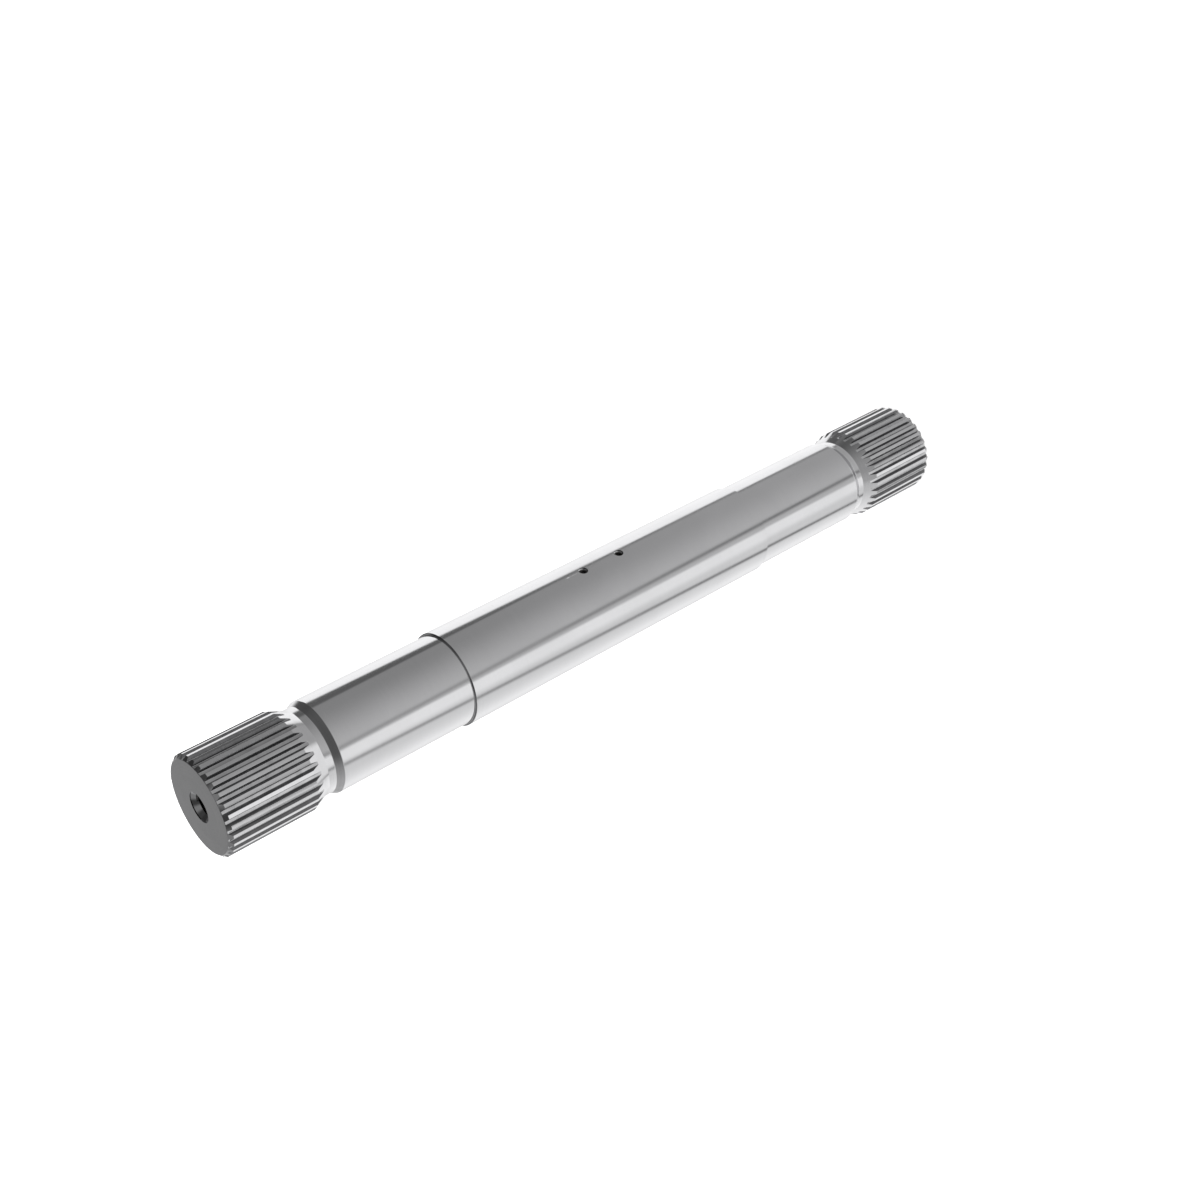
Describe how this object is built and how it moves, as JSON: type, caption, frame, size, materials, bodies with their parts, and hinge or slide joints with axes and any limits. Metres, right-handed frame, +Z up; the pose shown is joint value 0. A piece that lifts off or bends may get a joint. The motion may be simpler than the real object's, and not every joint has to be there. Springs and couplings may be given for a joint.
{
  "type": "rockshaft",
  "caption": "Solid steel cross shaft with splined ends, stepped journals and tapped centre holes; it carries and turns the lift arms of a tractor's rear hitch.",
  "frame": {"origin": "centre of the lower end face, on the surface that the shaft stands on", "axes": "+Z up along the shaft's axis; -Y is the front, towards which the two tapped screw holes face; the shaft is the same from both ends"},
  "size_m": [0.0924, 0.0922, 0.862],
  "materials": {
    "bright_steel": "ground seat and journals, turned necks and ends, cut splines, all bare bright steel"
  },
  "bodies": {
    "root": {"rockshaft": "bright_steel"}
  },
  "joints": []
}
